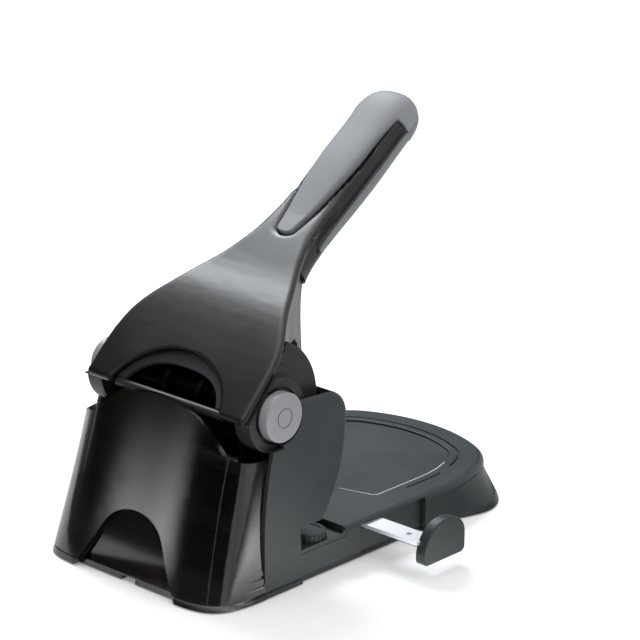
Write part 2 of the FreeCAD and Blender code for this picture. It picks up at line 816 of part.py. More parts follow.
def on_slope(x, s, depth):
    """Place on the sloping rear of the lever: s up from its rear edge."""
    y = rear_edge_y - s * cos(slope) - depth * slope_normal[0]
    z = rear_edge_z + s * sin(slope) - depth * slope_normal[1]
    return vec(x, y, z)


def window_cutter(half, height, foot, top_depth, bottom_depth):
    """Arch-shaped cutter square to the slope."""
    a = on_slope(half, foot, top_depth)
    b = on_slope(0, height, top_depth)
    c = on_slope(-half, foot, top_depth)
    shoulder_a = on_slope(half * 0.78, foot + (height - foot) * 0.62, top_depth)
    shoulder_c = on_slope(-half * 0.78, foot + (height - foot) * 0.62, top_depth)
    depth = bottom_depth - top_depth
    way = vec(0, -slope_normal[0] * depth, -slope_normal[1] * depth)
    return slab([smooth([a, shoulder_a, b, shoulder_c, c]), line(c, a)], way)


def lever_top_cover():
    """Top shell from the rear lip to the end of the handle, in one piece."""
    cover = lever_strip(0, -top_cover_thickness, lever_reach).common(lever_plan(0))
    rim = []
    for edge in cover.Edges:
        b = edge.BoundBox
        if b.YLength > 60 and abs(b.XMin) > 15 and abs(b.XMax) > 15 and b.XMin * b.XMax > 0:
            rim.append((b.ZMax + b.ZMin, edge))
    rim.sort(key=lambda pair: pair[0])
    cover = cover.makeFillet(lever_edge_radius, [edge for level, edge in rim[-2:]])
    centre = on_slope(0, lip_radius / 2, lip_radius)
    reach = lever_half_width - lever_step
    cover = cover.fuse(crosswise(lip_radius, centre.y, centre.z, -reach, reach))
    arch = window_cutter(window_half_width, window_height, -9, -8, 12)
    cover = cover.cut(arch)
    upper = handle_body(0).common(grip_region(body_split, 60, -60)).cut(grip_region(-60, 60, body_end))
    upper = upper.common(box(-long, long, -long, body_start, 0, long))
    cover = cover.fuse(upper).cut(grip_bed())
    cover = cover.cut(side_slab(core_outline(), -core_half_width, core_half_width))
    for s in lever_screw_places:
        cover = cover.cut(handle_hole(s, lever_screw_radius))
    return cover.removeSplitter()


def on_handle(s, h):
    """Place on the handle: s up along its axis, h square to it."""
    a = radians(handle_angle)
    return (handle_y - s * cos(a) + h * sin(a), handle_z + s * sin(a) + h * cos(a))


def handle_body(grow):
    """Rounded handle as sections square to its run."""
    angle = radians(handle_angle)
    wires = []
    for y, z, half, deep in handle_sections:
        points = []
        steps = 24
        for i in range(steps):
            t = 2 * pi * i / steps
            c = cos(t)
            s = sin(t)
            u = (half + grow) * abs(c) ** 0.7 * (1 if c > 0 else -1)
            v = (deep + grow) * abs(s) ** 0.7 * (1 if s > 0 else -1)
            points.append(vec(u, y + v * sin(angle), z + v * cos(angle)))
        curve = Part.BSplineCurve()
        curve.interpolate(Points=points, PeriodicFlag=True)
        wires.append(Part.Wire([curve.toShape()]))
    return Part.makeLoft(wires, True, False)


def grip_region(low, high, start):
    """Slice of the handle between two heights above its axis line."""
    ring = [on_handle(start, low), on_handle(120, low), on_handle(120, high), on_handle(start, high)]
    return side_slab(ring, -60, 60)


def on_top(half_widths, level, height):
    """Prism square to the handle over a plan given as (s, half-width) pairs."""
    def at(x, s):
        y, z = on_handle(s, level)
        return vec(x, y, z)

    right = [at(half, s) for s, half in half_widths]
    left = [at(-half, s) for s, half in reversed(half_widths)]
    foot = half_widths[0][0]
    toe = at(0, foot - half_widths[0][1] * 0.35)
    end = half_widths[-1][0]
    y, z = on_handle(end, level + height)
    base_y, base_z = on_handle(end, level)
    outline = [smooth(right), line(right[-1], left[0]), smooth(left), arc(left[-1], toe, right[0])]
    return slab(outline, vec(0, y - base_y, z - base_z))


def grip_bed():
    """Channel in the top shell in which the upper grip lies."""
    return on_top(bed_plan, bed_level, 30)


def grip_top():
    """Upper grip: a long tongue that swells into a head over the end of the handle."""
    plan = on_top(grip_plan, bed_level, 30)
    tongue = handle_body(grip_proud).common(plan)
    tip = lever_strip(grip_proud, -6, lever_reach).common(plan).cut(grip_region(-60, 60, 4))
    head = handle_body(grip_proud).common(grip_region(body_split + 0.3, 60, body_end))
    grip = tongue.fuse([tip, head])
    for s in lever_screw_places:
        grip = grip.cut(handle_hole(s, lever_screw_radius))
    return grip.removeSplitter()


def grip_bottom():
    """Lower grip: the rounded underside of the handle."""
    lower = handle_body(0).common(grip_region(-60, body_split, grip_bottom_start))
    lower = lower.cut(grip_region(-60, 60, body_end))
    end = handle_body(0.5).common(grip_region(-60, body_split, body_end))
    grip = lower.fuse(end).cut(side_slab(core_outline(), -core_half_width, core_half_width))
    for s in lever_screw_places:
        grip = grip.cut(handle_hole(s, lever_screw_head_radius + 0.2))
    return grip.removeSplitter()


def handle_hole(s, radius):
    y, z = on_handle(s, -20)
    top_y, top_z = on_handle(s, grip_split + 3)
    way = vec(0, top_y - y, top_z - z)
    return Part.makeCylinder(radius, way.Length, vec(0, y, z), way)


def core_outline():
    """Side view of the core: hub, cam nose, arm and handle tongue."""
    return [(pivot_y + 4, pivot_z + 9.8), (pivot_y - 9, pivot_z + 24), (pivot_y - 24, pivot_z + 37.5),
            (pivot_y - 38, pivot_z + 46.5), (pivot_y - 60, pivot_z + 59.5), on_handle(2, grip_split),
            on_handle(tongue_length, grip_split), on_handle(tongue_length, -grip_split),
            on_handle(8, -grip_split), (pivot_y - 66, pivot_z + 56),
            (pivot_y - 51, pivot_z + 42), (pivot_y - 41, pivot_z + 32.4),
            (pivot_y - 27, pivot_z + 20.6), (pivot_y - 29, pivot_z + 4), (pivot_y - 27, pivot_z - 5),
            (pivot_y - 18, pivot_z - 6), (pivot_y - 4, pivot_z - 9.8)]


def lever_core():
    outline = core_outline()
    half = core_half_width
    body = side_slab(outline, -half, half)
    hollow = side_slab([(pivot_y + 20, pivot_z + 2), (pivot_y - 6, pivot_z + 22), (pivot_y - 23, pivot_z + 34),
                        (pivot_y - 38, pivot_z + 43.5), (pivot_y - 60, pivot_z + 56.5),
                        on_handle(2, web_height), on_handle(tongue_length + 1, web_height),
                        on_handle(tongue_length + 1, -40), (-60, 140), (10, 70), (60, 70)],
                       -half + core_plate, half - core_plate)
    body = body.cut(hollow)
    for x0 in (-half, half - core_plate):
        body = body.fuse(crosswise(core_hub_radius, pivot_y, pivot_z, x0, x0 + core_plate))
    body = body.cut(crosswise(bush_radius, pivot_y, pivot_z, -long, long))
    body = body.cut(crosswise(cam_pin_end_radius, cam_y, cam_z, -long, long))
    for s in lever_screw_places:
        body = body.cut(handle_hole(s, lever_screw_radius))
    return body.removeSplitter()


def cam_pin():
    inner = core_half_width - core_plate
    body = crosswise(cam_pin_radius, cam_y, cam_z, -inner, inner)
    ends = crosswise(cam_pin_end_radius, cam_y, cam_z, -core_half_width, core_half_width)
    return fuse(body, ends)


def core_bushes():
    bushes = []
    for sign in (-1, 1):
        x0, x1 = sorted((sign * (core_half_width - core_plate), sign * core_half_width))
        f0, f1 = sorted((sign * core_half_width, sign * (core_half_width + bush_flange)))
        bush = crosswise(bush_radius, pivot_y, pivot_z, x0, x1)
        bush = fuse(bush, crosswise(bush_flange_radius, pivot_y, pivot_z, f0, f1))
        bushes.append(bush.cut(crosswise(shaft_radius + running_fit, pivot_y, pivot_z, -long, long)))
    return bushes


def sector(radius, start, end, x0, x1):
    """Flat sector round the pivot, angles from +Y towards +Z."""
    def at(angle):
        a = radians(angle)
        return vec(x0, pivot_y + radius * cos(a), pivot_z + radius * sin(a))

    centre = vec(x0, pivot_y, pivot_z)
    edges = [line(centre, at(start)), arc(at(start), at((start + end) / 2), at(end)), line(at(end), centre)]
    return slab(edges, vec(x1 - x0, 0, 0))


def hub(sign):
    """Hub plate with the stepped guard that dips into the head."""
    def between(a, b):
        return sorted((sign * a, sign * b))

    x0, x1 = between(hub_inner_x, hub_inner_x + guard_thickness)
    guard = sector(guard_radius, guard_start, 186, x0, x1)
    x0, x1 = between(hub_inner_x, hub_inner_x + guard_thickness + rib_rise)
    rib = sector(rib_radius, guard_start, 188, x0, x1)
    x0, x1 = between(hub_inner_x, hub_inner_x + guard_thickness + step_rise)
    step = sector(step_radius, guard_start, 205, x0, x1)
    x0, x1 = between(hub_inner_x, hub_outer_x)
    disc = crosswise(hub_radius, pivot_y, pivot_z, x0, x1)
    rear = side_slab([(pivot_y, pivot_z), (pivot_y + 5.8, pivot_z - 17.4), (pivot_y + 21.1, pivot_z - 0.2),
                      (rear_edge_y - 1, rear_edge_z - 3), (pivot_y + 6, pivot_z + 14)], x0, x1)
    return fuse(guard, rib, step, disc, rear)


def lever_under_cover():
    skin = -top_cover_thickness
    outer = lever_strip(skin, -90, lever_reach).common(lever_plan(lever_step))
    outer = outer.cut(box(-long, long, -long, body_start, 0, long))
    # Lower boundary: clears the head when the lever is down
    below = side_slab([(80, 60), (80, 93), (28, 93), (14, 110.5), (-10, 121.8), (-21, 120.8),
                       (-27.5, 115.5), (-30.5, 108), (-32.5, 104), (-36.5, 104), (-80, 104), (-80, 40), (80, 40)],
                      -80, 80)
    outer = outer.cut(below)
    # Front wall: curved face of the neck
    front = [smooth([vec(-80, -36.8, 100), vec(-80, -35.2, 118), vec(-80, -34.6, 130.2),
                     vec(-80, -36.4, 142), vec(-80, -42, 151.5), vec(-80, -52, 158)]),
             line(vec(-80, -52, 158), vec(-80, -90, 158)), line(vec(-80, -90, 158), vec(-80, -90, 100)),
             line(vec(-80, -90, 100), vec(-80, -36.8, 100))]
    outer = outer.cut(slab(front, vec(160, 0, 0)))
    inner = lever_strip(-lever_skin, -95, lever_reach).common(lever_plan(lever_step + under_cover_wall))
    keep = side_slab([(rear_edge_y - 4.2, 60), (rear_edge_y - 4.2, 130), (60, 130), (60, 60)], -80, 80)
    inner = inner.cut(keep)
    front_wall = side_slab([(-33.4, 90), (-32.4, 118), (-31.6, 130), (-32.8, 140), (-37, 147), (-90, 165),
                            (-90, 90)], -80, 80)
    inner = inner.cut(front_wall)
    shell = outer.cut(inner)
    upper = grip_region(body_split, 60, -60).common(box(-long, long, -long, body_start, 0, long))
    handle = handle_body(0).cut(upper).cut(grip_region(-60, 60, grip_bottom_start))
    handle = handle.cut(lever_strip(60, skin, lever_reach)).cut(grip_bed())
    shell = shell.fuse([handle, hub(-1), hub(1)])
    # Nothing reaches above the top cover's seat
    shell = shell.cut(lever_strip(60, skin, lever_reach))
    # Room for the core, the shaft and the window
    tongue = side_slab(core_outline(), -core_half_width, core_half_width)
    shell = shell.cut(tongue)
    shell = shell.cut(crosswise(shaft_radius + running_fit, pivot_y, pivot_z, -long, long))
    inner_arch = window_cutter(window_half_width - window_rim, window_height - window_rim, 3.2, -8, 16)
    shell = shell.cut(inner_arch)
    # Seat for the rear lip, rounded bar across the foot of the window, ring round each cap
    lip = on_slope(0, lip_radius / 2, lip_radius)
    shell = shell.cut(crosswise(lip_radius, lip.y, lip.z, -lever_half_width, lever_half_width))
    centre = on_slope(0, lip_radius / 2, lip_radius + bar_radius + 1.2)
    reach = window_half_width - 2.5
    shell = shell.fuse(crosswise(bar_radius, centre.y, centre.z, -reach, reach))
    for sign in (-1, 1):
        x0, x1 = sorted((sign * (hub_outer_x - cap_recess_depth), sign * (hub_outer_x + 1)))
        ring = crosswise(cap_radius + cap_recess, pivot_y, pivot_z, x0, x1)
        shell = shell.cut(ring.cut(crosswise(cap_radius, pivot_y, pivot_z, x0 - 1, x1 + 1)))
    return shell.removeSplitter()


# Chip bin

def bin_outline(inset, level):
    """Plan of the bin at a level; it leans in up to the crease."""
    share = (level - floor_clearance) / (bin_crease - floor_clearance)
    half = bin_half_width + (bin_crease_half_width - bin_half_width) * share - inset
    reach = bin_rear + (bin_crease_rear - bin_rear) * share - inset
    steps = 28
    points = []
    for i in range(steps + 1):
        t = pi * i / steps
        c = cos(t)
        x = half * abs(c) ** (2 / bin_power) * (1 if c > 0 else -1)
        points.append(vec(x, reach * sin(t) ** (2 / bin_power), level))
    points[0] = vec(half, 0, level)
    points[-1] = vec(-half, 0, level)
    rear = smooth(points, vec(0, 1, 0), vec(0, -1, 0))
    return Part.Wire([rear, line(points[-1], points[0])])


def scoop(deeper):
    """Arch-shaped dip low in the rear wall, flat inside."""
    half = scoop_half_width
    y = bin_rear + 20
    side = [vec(half + 2, y, -5), vec(half - 5, y, 6), vec(half * 0.68, y, scoop_top * 0.47),
            vec(half * 0.45, y, scoop_top * 0.84), vec(half * 0.2, y, scoop_top * 0.975)]
    outline = [smooth(side + [vec(0, y, scoop_top)] + [vec(-p.x, p.y, p.z) for p in reversed(side)]),
               line(vec(-half - 2, y, -5), vec(half + 2, y, -5))]
    arch = slab(outline, vec(0, -60, 0))
    share = (scoop_top - floor_clearance) / (bin_crease - floor_clearance)
    wall_at_top = bin_rear + (bin_crease_rear - bin_rear) * share - scoop_top_depth
    plane = side_slab([(wall_at_top - deeper, scoop_top), (bin_rear - scoop_depth - deeper, floor_clearance),
                       (bin_rear - scoop_depth - deeper, -10), (bin_rear + 60, -10), (bin_rear + 60, scoop_top)],
                      -long, long)
    return arch.common(plane)


def bin_shoulders(y0, y1):
    """Front view of the bin's top: arch tab between two shoulders."""
    half = tab_half_width
    side = [vec(half, y0, bin_shoulder), vec(half * 0.88, y0, bin_shoulder + 5.7),
            vec(half * 0.73, y0, tab_top - 8.1), vec(half * 0.3, y0, tab_top - 1.2)]
    arch = [smooth(side + [vec(0, y0, tab_top)] + [vec(-p.x, p.y, p.z) for p in reversed(side)])]
    arch += polyline([vec(-half, y0, bin_shoulder), vec(-90, y0, bin_shoulder), vec(-90, y0, -5),
                      vec(90, y0, -5), vec(90, y0, bin_shoulder), vec(half, y0, bin_shoulder)])
    return slab(arch, vec(0, y1 - y0, 0))


def chip_bin():
    high = tab_top + 2
    body = Part.makeLoft([bin_outline(0, floor_clearance), bin_outline(0, high)], True, True)
    hollow = Part.makeLoft([bin_outline(bin_wall, floor_clearance), bin_outline(bin_wall, high + 1)], True, True)
    hollow = hollow.cut(box(-long, long, -long, long, -5, floor_clearance + bin_wall))
    hollow = hollow.cut(scoop(bin_wall))
    body = body.cut(scoop(0)).cut(hollow)
    body = body.common(bin_shoulders(-5, 90))
    # Front boundary along the seam with the head
    seam = [arc(vec(-80, seam_rear, floor_clearance), vec(-80, seam_rear - 0.2, 38),
                vec(-80, seam_top_rear, seam_top)),
            line(vec(-80, seam_top_rear, seam_top), vec(-80, seam_top_rear, 120)),
            line(vec(-80, seam_top_rear, 120), vec(-80, -10, 120)),
            line(vec(-80, -10, 120), vec(-80, -10, -5)), line(vec(-80, -10, -5), vec(-80, seam_rear, -5)),
            line(vec(-80, seam_rear, -5), vec(-80, seam_rear, floor_clearance))]
    body = body.cut(slab(seam, vec(160, 0, 0)))
    # Side walls stay low beside the hubs of the lever
    flank = [(20, 75.3), (42, 75.3), (47, 76.4), (51.5, bin_shoulder), (51.5, 120), (20, 120)]
    for x0, x1 in ((tab_half_width, long), (-long, -tab_half_width)):
        body = body.cut(side_slab(flank, x0, x1))
    # Drawer that reaches in under the die
    half = die_half_length - 0.2
    drawer = box(-half, half, drawer_front, seam_rear + 4, drawer_bottom, drawer_top)
    drawer = drawer.cut(box(-half + drawer_floor, half - drawer_floor, drawer_front + drawer_floor,
                            seam_rear + 8, drawer_bottom + drawer_floor, long))
    riser = box(-half, half, seam_rear + 0.2, seam_rear + 4, floor_clearance + 1, drawer_bottom + drawer_floor)
    body = body.fuse([drawer, riser])
    body = body.cut(box(-half + drawer_floor, half - drawer_floor, seam_rear - 1, seam_rear + 6,
                        drawer_bottom + drawer_floor, drawer_top))
    # Grip grooves low on each side, and the small latch notch at the rear
    for i in range(grip_grooves):
        z = grip_groove_low + i * grip_groove_pitch
        end = grip_groove_end - i * grip_groove_slant
        for sign in (-1, 1):
            x0, x1 = sorted((sign * (bin_half_width - 1.9), sign * (bin_half_width + 1)))
            body = body.cut(box(x0, x1, seam_rear - 3, end, z, z + grip_groove_height))
    body = body.cut(box(-latch_half_width, latch_half_width, bin_rear - 12, bin_rear + 5,
                        -1, floor_clearance + latch_height))
    return body.removeSplitter()


# Side guide and its lock

def guide_strip():
    strip = box(strip_outer_x, strip_outer_x + strip_length, strip_front, strip_rear, strip_bottom, strip_top)
    corners = [e for e in strip.Edges
               if e.BoundBox.ZLength > strip_thickness - 0.1 and e.BoundBox.XMin > strip_outer_x + 1]
    strip = strip.makeFillet(3, corners)
    return strip.cut(upright(rivet_radius, rivet_x, (strip_front + strip_rear) / 2, 0, long))


def guide_end_cap():
    """Upright fence at the end of the strip, with a tongue under it."""
    outer = strip_outer_x + 1.1
    r = 3.5
    dip = r * (1 - sqrt(0.5))
    shoulder = fence_top - 12.5
    arch = [vec(outer, fence_front, shoulder + 2), vec(outer, fence_front + 4.6, shoulder + 9.6),
            vec(outer, fence_front + 14.2, fence_top), vec(outer, fence_rear - 8.4, shoulder + 9.6),
            vec(outer, fence_rear - 2.6, shoulder + 3.4), vec(outer, fence_rear, shoulder - 4)]
    edges = [line(vec(outer, fence_front, fence_bottom + r), arch[0]),
             smooth(arch),
             line(arch[-1], vec(outer, fence_rear, fence_bottom + r)),
             arc(vec(outer, fence_rear, fence_bottom + r), vec(outer, fence_rear - dip, fence_bottom + dip),
                 vec(outer, fence_rear - r, fence_bottom)),
             line(vec(outer, fence_rear - r, fence_bottom), vec(outer, fence_front + r, fence_bottom)),
             arc(vec(outer, fence_front + r, fence_bottom), vec(outer, fence_front + dip, fence_bottom + dip),
                 vec(outer, fence_front, fence_bottom + r))]
    plate = slab(edges, vec(-fence_thickness, 0, 0))
    face_x = outer - fence_thickness
    rim = [e for e in plate.Edges if e.BoundBox.XMax < face_x + 0.01]
    plate = plate.makeFillet(fence_edge, rim)
    tongue = box(outer - 1, rivet_x + 4, strip_front + 1, strip_rear - 1,
                 strip_bottom - tongue_thickness, strip_bottom)
    slot = box(strip_outer_x, outer + 1, strip_front, strip_rear, strip_bottom, strip_top)
    cap = fuse(plate, tongue).cut(slot)
    return cap.cut(upright(rivet_radius, rivet_x, (strip_front + strip_rear) / 2, 0, long))


def guide_rivet():
    """Flush rivet through the strip and the tongue."""
    y = (strip_front + strip_rear) / 2
    return upright(rivet_radius, rivet_x, y, strip_bottom - tongue_thickness, strip_top)


def guide_rail():
    floor = base_plate_top
    x = frame_outer_x + 0.5
    front = strip_front - slide_gap
    rear = strip_rear + slide_gap
    rail = box(-x, x, front - 2, rear + 2, floor, strip_top + slide_gap)
    return rail.cut(box(-x - 1, x + 1, front, rear, strip_bottom - slide_gap, long))


def guide_clamp_bar():
    bar = box(knob_x - clamp_half_width, knob_x + clamp_half_width, strip_front - 1.5, knob_y + 7,
              clamp_bottom, clamp_top)
    bar = bar.cut(box(knob_x - 20, knob_x + 20, knob_deck_front - deck_thickness - 0.6, knob_y + 20,
                      knob_deck_level - deck_thickness - 0.3, long))
    return bar.cut(upright(stud_radius + running_fit, knob_x, knob_y, 0, long))


def guide_lock_knob():
    low = knob_deck_level + seat_gap
    knob = upright(knob_radius, knob_x, knob_y, low, low + knob_height)
    top = [e for e in knob.Edges if e.BoundBox.ZMin > low + knob_height - 0.01]
    knob = knob.makeFillet(0.8, top)
    for i in range(knob_flutes):
        a = 2 * pi * i / knob_flutes
        x = knob_x + (knob_radius + 0.3) * cos(a)
        y = knob_y + (knob_radius + 0.3) * sin(a)
        knob = knob.cut(upright(0.8, x, y, low - 1, low + knob_height + 1))
    return knob.cut(upright(stud_radius, knob_x, knob_y, low - 1, low + 2))


def knob_stud():
    low = knob_deck_level + seat_gap
    return upright(stud_radius, knob_x, knob_y, clamp_bottom - 1.5, low + 2)


def lever_screws():
    """Two screws from below hold the upper grip to the core's tongue."""
    screws = []
    for s in lever_screw_places:
        low_y, low_z = on_handle(s, web_height - lever_screw_head)
        seat_y, seat_z = on_handle(s, web_height)
        way = vec(0, seat_y - low_y, seat_z - low_z)
        head = Part.makeCylinder(lever_screw_head_radius, lever_screw_head, vec(0, low_y, low_z), way)
        stem = Part.makeCylinder(lever_screw_radius, grip_split + 2.8 - web_height, vec(0, seat_y, seat_z), way)
        screws.append(fuse(head, stem))
    return screws


def build():
    os.makedirs("parts", exist_ok=True)
    save("base_tray", base_tray())
    save("base_cover", base_cover())
    save("rubber_feet", *rubber_feet())
    save("base_plate", base_plate())
    save("base_screws", *[screw(x, y, tray_bottom + 0.6, base_plate_top - 0.4, screw_head_height)
                          for x, y in screw_places])
    save("frame_side_left", frame_side(-1))
    save("frame_side_right", frame_side(1))
    save("tie_rods", *tie_rods())
    save("front_tie_bar", front_tie_bar())
    save("housing_screws", *housing_screws())
    save("die_plate", die_plate())
    save("die_screws", *die_screws())
    save("pin_guide_block", pin_guide_block())
    save("head_housing", head_housing())
    save("pivot_shaft", pivot_shaft())
    save("shaft_clips", *shaft_clips())
    save("press_bar", press_bar())
    save("punch_pin_left", punch_pin(-1))
    save("punch_pin_right", punch_pin(1))
    for name, sign in (("return_spring_left", -1), ("return_spring_right", 1)):
        save(name, coil(sign * half_pitch, 0, guide_block_top + 0.1, press_bar_bottom - 0.1,
                        spring_radius, spring_wire, spring_turns))
    save("guide_rail", guide_rail())
    save("guide_clamp_bar", guide_clamp_bar())
    save("guide_lock_knob", guide_lock_knob())
    save("knob_stud", knob_stud())
    save("guide_strip", guide_strip())
    save("guide_end_cap", guide_end_cap())
    save("guide_rivet", guide_rivet())
    save("chip_bin", chip_bin())
    save("lever_core", lever_core())
    save("core_bushes", *core_bushes())
    save("cam_pin", cam_pin())
    save("lever_top_cover", lever_top_cover())
    save("lever_under_cover", lever_under_cover())
    save("grip_top", grip_top())
    save("grip_bottom", grip_bottom())
    save("lever_screws", *lever_screws())
    save("pivot_cap_left", pivot_cap(-1))
    save("pivot_cap_right", pivot_cap(1))


build()
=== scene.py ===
# %% [markdown]
# # A heavy two-hole punch
# The punch stands on five rubber feet, four near the corners and one under the punches.
# Its lever hangs on a shaft that runs through the head, and a bin of smoked plastic at
# the back catches the chips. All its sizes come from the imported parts, which this
# script loads and dresses.

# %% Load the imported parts
import math

import bmesh
import bpy
from mathutils import Matrix, Vector


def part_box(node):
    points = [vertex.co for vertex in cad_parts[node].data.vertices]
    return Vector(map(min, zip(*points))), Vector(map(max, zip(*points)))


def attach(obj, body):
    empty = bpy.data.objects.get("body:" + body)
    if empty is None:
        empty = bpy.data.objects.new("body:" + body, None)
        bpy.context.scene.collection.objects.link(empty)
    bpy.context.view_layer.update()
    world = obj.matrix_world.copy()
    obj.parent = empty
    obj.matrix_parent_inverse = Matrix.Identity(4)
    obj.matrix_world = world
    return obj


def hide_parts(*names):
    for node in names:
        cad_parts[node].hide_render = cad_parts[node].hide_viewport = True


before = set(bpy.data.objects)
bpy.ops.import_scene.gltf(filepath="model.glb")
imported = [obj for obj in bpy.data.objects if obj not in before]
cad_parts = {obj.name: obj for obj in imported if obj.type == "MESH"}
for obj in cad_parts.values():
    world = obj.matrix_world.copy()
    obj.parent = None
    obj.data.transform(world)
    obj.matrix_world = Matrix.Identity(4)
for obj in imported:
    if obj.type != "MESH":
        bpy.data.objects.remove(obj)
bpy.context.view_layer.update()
MM = 0.001
print("parts loaded:", len(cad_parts))

# %% [markdown]
# ## The view
# A camera is placed by where it stands and where it looks. The long lens stands far
# back, so that the lines of the base hardly run together.

# %% Place the camera
CAMERA_AT = Vector((-1071.28, 1069.42, 644.89)) * MM
CAMERA_FORWARD = Vector((0.6467, -0.6911, -0.3228)).normalized()
CAMERA_UP = Vector((0.2205, -0.2357, 0.9465))
LENS_MM = 168.75
SENSOR_MM = 36

lens = bpy.data.cameras.new("studio_camera")
lens.lens = LENS_MM
lens.sensor_width = SENSOR_MM
lens.clip_end = 20
camera = bpy.data.objects.new("studio_camera", lens)
bpy.context.scene.collection.objects.link(camera)
camera_right = CAMERA_FORWARD.cross(CAMERA_UP).normalized()
camera_up = camera_right.cross(CAMERA_FORWARD)
turn = Matrix((camera_right, camera_up, -CAMERA_FORWARD)).transposed()
camera.matrix_world = Matrix.Translation(CAMERA_AT) @ turn.to_4x4()
bpy.context.scene.camera = camera
bpy.context.scene.view_settings.view_transform = "Standard"
print("camera stands", round(CAMERA_AT.length, 3), "m from the punch")

# %% [markdown]
# ## Helpers for the finishes
# Colours are written as on a colour chart and turned to linear light by one function.
# Another adds one node with its settings and its links, and a third tells the rays
# that see the white room from those that only carry light.


# %% Colour and node helpers
def linear(code):
    """A colour-chart code such as 3a3e44 as linear red, green, blue and alpha."""
    values = [int(code[i:i + 2], 16) / 255 for i in (0, 2, 4)]
    return tuple(v / 12.92 if v <= 0.04045 else ((v + 0.055) / 1.055) ** 2.4
                 for v in values) + (1.0,)


def add(tree, kind, settings=None, **inputs):
    """One node, its settings, and its inputs as values or as (node, output) links."""
    node = tree.nodes.new(kind)
    for name, value in (settings or {}).items():
        setattr(node, name, value)
    for name, value in inputs.items():
        socket = node.inputs[int(name[1:])] if name[1:].isdigit() else (
            node.inputs[name.replace("_", " ")])
        if isinstance(value, tuple) and isinstance(value[0], bpy.types.Node):
            tree.links.new(value[0].outputs[value[1]], socket)
        else:
            socket.default_value = value
    return node


def new_material(name):
    """An empty material, its tree, and its principled shader linked to the output."""
    material = bpy.data.materials.new(name)
    material.use_nodes = True
    tree = material.node_tree
    tree.nodes.clear()
    shader = add(tree, "ShaderNodeBsdfPrincipled")
    add(tree, "ShaderNodeOutputMaterial", Surface=(shader, 0))
    return material, tree, shader


def white_rays(tree):
    """One for rays from the camera, a gloss or a clear part, nothing for the rest."""
    rays = add(tree, "ShaderNodeLightPath")
    seen = add(tree, "ShaderNodeMath", {"operation": "MAXIMUM"},
               _0=(rays, "Is Camera Ray"), _1=(rays, "Is Glossy Ray"))
    return add(tree, "ShaderNodeMath", {"operation": "MAXIMUM"},
               _0=(seen, 0), _1=(rays, "Is Transmission Ray"))


print("helpers ready")

# %% [markdown]
# ## Moulded plastics
# The housing and the base are moulded ABS, and the grips are a softer plastic. The mould
# of the dark parts was spark-eroded, which leaves a fine matt grain, about a quarter of
# a millimetre wide. At this view so fine a grain hardly shows, so it is drawn a little
# coarser. The colour clouds very slightly, and the grain is painted a little lighter on
# its tops and darker in its hollows, which is painted shade that follows the relief.


# %% A moulded plastic with grain
CLOUD_SCALE = 28.0
CLOUD_SHARE, GRAIN_SHADE_SHARE = 0.55, 0.45
SHEEN_SPREAD = 0.04
GRAIN_HEIGHT = 0.1 * MM


def moulded(name, dark, light, roughness, grain_mm, grain_depth, specular=0.5):
    """Moulded plastic: two near colours, a grain of a real width with painted shade in
    its hollows, and its own gloss.
    """
    material, tree, shader = new_material(name)
    place = add(tree, "ShaderNodeTexCoord")
    cloud = add(tree, "ShaderNodeTexNoise", Vector=(place, 3), Scale=CLOUD_SCALE,
                Detail=3.0)
    grain = add(tree, "ShaderNodeTexNoise", Vector=(place, 3),
                Scale=1.0 / (grain_mm * MM), Detail=2.0, Roughness=0.6)
    mixed = add(tree, "ShaderNodeMath", {"operation": "MULTIPLY_ADD"},
                _0=(cloud, 0), _1=CLOUD_SHARE, _2=0.0)
    # The grain's share of the colour is painted shade: lighter where the relief is high,
    # darker in its hollows.
    cloud_and_grain_shade = add(tree, "ShaderNodeMath", {"operation": "MULTIPLY_ADD"},
                _0=(grain, 0), _1=GRAIN_SHADE_SHARE, _2=(mixed, 0))
    colour = add(tree, "ShaderNodeValToRGB", Fac=(cloud_and_grain_shade, 0))
    colour.color_ramp.elements[0].position = 0.3
    colour.color_ramp.elements[0].color = linear(dark)
    colour.color_ramp.elements[1].position = 0.7
    colour.color_ramp.elements[1].color = linear(light)
    tree.links.new(colour.outputs[0], shader.inputs["Base Color"])
    sheen = add(tree, "ShaderNodeMapRange", Value=(cloud, 0), _1=0.3, _2=0.7,
                _3=roughness - SHEEN_SPREAD, _4=roughness + SHEEN_SPREAD)
    tree.links.new(sheen.outputs[0], shader.inputs["Roughness"])
    relief = add(tree, "ShaderNodeBump", Strength=grain_depth, Distance=GRAIN_HEIGHT,
                 Height=(grain, 0))
    tree.links.new(relief.outputs[0], shader.inputs["Normal"])
    shader.inputs["IOR"].default_value = 1.5
    shader.inputs["Specular IOR Level"].default_value = specular
    return material


matt_abs = moulded("ABS_matt_black_grained", "292e30", "34393b", 0.45, 0.5, 0.25,
                   specular=0.26)
gloss_abs = moulded("ABS_gloss_black", "05070a", "080b0e", 0.35, 4.0, 0.02)
satin_abs = moulded("ABS_satin_black", "26292b", "2d3032", 0.42, 1.5, 0.05, specular=0.25)
grip_light = moulded("soft_plastic_light_grey", "7c7f82", "87898c", 0.55, 0.6, 0.2,
                     specular=0.3)
grip_dark = moulded("soft_plastic_mid_grey", "6e7275", "7a7e81", 0.55, 0.6, 0.25,
                    specular=0.3)
cap_grey = moulded("ABS_cap_grey", "85878a", "8f9194", 0.4, 0.5, 0.15)
foot_rubber = moulded("rubber_black", "141414", "1b1b1b", 0.75, 0.7, 0.4, specular=0.3)
print("moulded plastics:", 7)

# %% [markdown]
# ## Smoked plastic
# The bin is clear polystyrene tinted almost black. Little light passes its wall, and
# what passes comes out brownish. It is shiny, so it shows the room.

# %% Smoked clear plastic
smoked, tree, shader = new_material("polystyrene_smoked_clear")
shader.inputs["Base Color"].default_value = linear("4a4643")
shader.inputs["Roughness"].default_value = 0.1
shader.inputs["IOR"].default_value = 1.57
shader.inputs["Transmission Weight"].default_value = 1.0
print("smoked:", smoked.name)

